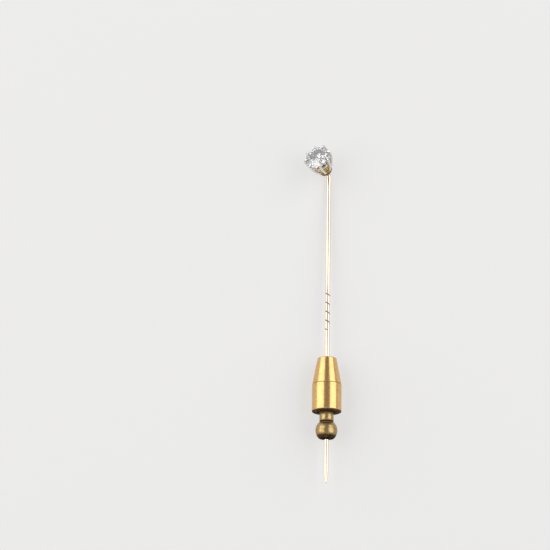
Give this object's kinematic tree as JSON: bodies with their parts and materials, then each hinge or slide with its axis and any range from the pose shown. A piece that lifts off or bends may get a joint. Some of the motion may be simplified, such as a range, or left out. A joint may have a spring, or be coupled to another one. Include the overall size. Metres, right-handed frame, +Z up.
{
  "type": "tie tack",
  "caption": "Stick-pin tie tack: claw-set brilliant in a two-tone head, bent gold pin wire with a grooved length, and a sliding ball clutch with a spring-loaded pull knob.",
  "frame": {"origin": "centre of the bounding box at its lowest level, on the surface that the pin lies on", "axes": "+Z up from the surface, +Y along the pin from its point towards the head, +X to the right"},
  "size_m": [0.0072, 0.0614, 0.0067],
  "materials": {
    "rose_gold": "polished rose gold wire",
    "yellow_gold": "polished yellow gold",
    "white_gold": "bright white gold",
    "diamond": "polished facets",
    "turned_brass": "turned and lacquered",
    "aged_brass": "turned, darkened with age",
    "steel": "bright hardened steel"
  },
  "bodies": {
    "pin": {"stem": "rose_gold", "collet": "yellow_gold", "claw_rail": "white_gold", "stone": "diamond", "claw_1": "white_gold", "claw_2": "white_gold", "claw_3": "white_gold", "claw_4": "white_gold", "claw_5": "white_gold", "claw_6": "white_gold", "claw_7": "white_gold", "claw_8": "white_gold"},
    "clutch_core": {"rear_washer": "turned_brass", "spring": "steel"},
    "casing": {"nose_cone": "turned_brass", "barrel": "turned_brass"},
    "plunger": {"plunger": "aged_brass", "pull_knob": "aged_brass"},
    "ball_1": {"grip_ball_1": "steel"},
    "ball_2": {"grip_ball_2": "steel"},
    "ball_3": {"grip_ball_3": "steel"}
  },
  "joints": [
    {"name": "clutch_slide", "type": "slide", "parent": "pin", "child": "clutch_core", "axis": [0, 0.9984, -0.0563], "range_m": [-0.0235, 0.033]},
    {"name": "casing_turn", "type": "hinge", "parent": "clutch_core", "child": "casing", "pos_m": [0.00099, -0.01286, 0.00261], "axis": [0, 0.9984, -0.0563], "continuous": true},
    {"name": "plunger_pull", "type": "slide", "parent": "clutch_core", "child": "plunger", "axis": [0, -0.9984, 0.0563], "range_m": [0, 0.0011], "stiffness_N_per_m": 200, "springref_m": -0.002, "deforming": ["spring"]},
    {"name": "ball_1_spread", "type": "slide", "parent": "plunger", "child": "ball_1", "axis": [0, 0.0563, 0.9984], "range_m": [0, 0.00024]},
    {"name": "ball_2_spread", "type": "slide", "parent": "plunger", "child": "ball_2", "axis": [0.866, -0.0282, -0.4992], "range_m": [0, 0.00024]},
    {"name": "ball_3_spread", "type": "slide", "parent": "plunger", "child": "ball_3", "axis": [-0.866, -0.0282, -0.4992], "range_m": [0, 0.00024]}
  ],
  "couplings": [
    {"joint": "ball_1_spread", "follows": "plunger_pull", "ratio": 0.21256},
    {"joint": "ball_2_spread", "follows": "plunger_pull", "ratio": 0.21256},
    {"joint": "ball_3_spread", "follows": "plunger_pull", "ratio": 0.21256}
  ]
}
